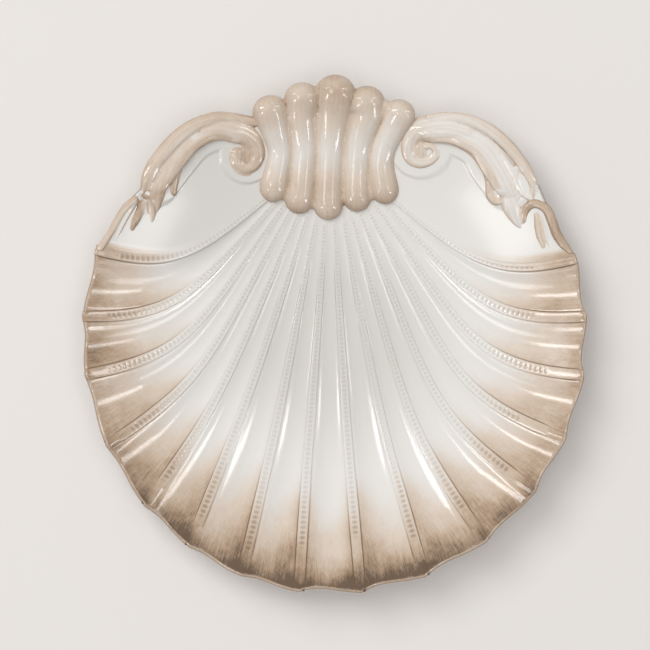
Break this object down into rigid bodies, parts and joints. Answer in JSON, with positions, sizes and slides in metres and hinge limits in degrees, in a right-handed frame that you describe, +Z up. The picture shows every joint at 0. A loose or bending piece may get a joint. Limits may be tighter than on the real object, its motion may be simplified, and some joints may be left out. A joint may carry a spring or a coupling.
{
  "type": "shell-shaped ceramic dish",
  "caption": "Glazed ceramic serving dish moulded as a scallop shell, with fluted fan, lobed hinge crest and two scrolls",
  "frame": {"origin": "centre of the footprint's bounding box, on the plane the foot ring rests on", "axes": "+Z up out of the bowl, +Y towards the hinge crest, +X to the right seen from above with the hinge away"},
  "size_m": [0.3206, 0.3294, 0.0484],
  "materials": {
    "washed_white_glaze": "glossy, clear glaze over a rubbed brown wash"
  },
  "bodies": {
    "root": {"shell_dish": "washed_white_glaze"}
  },
  "joints": []
}
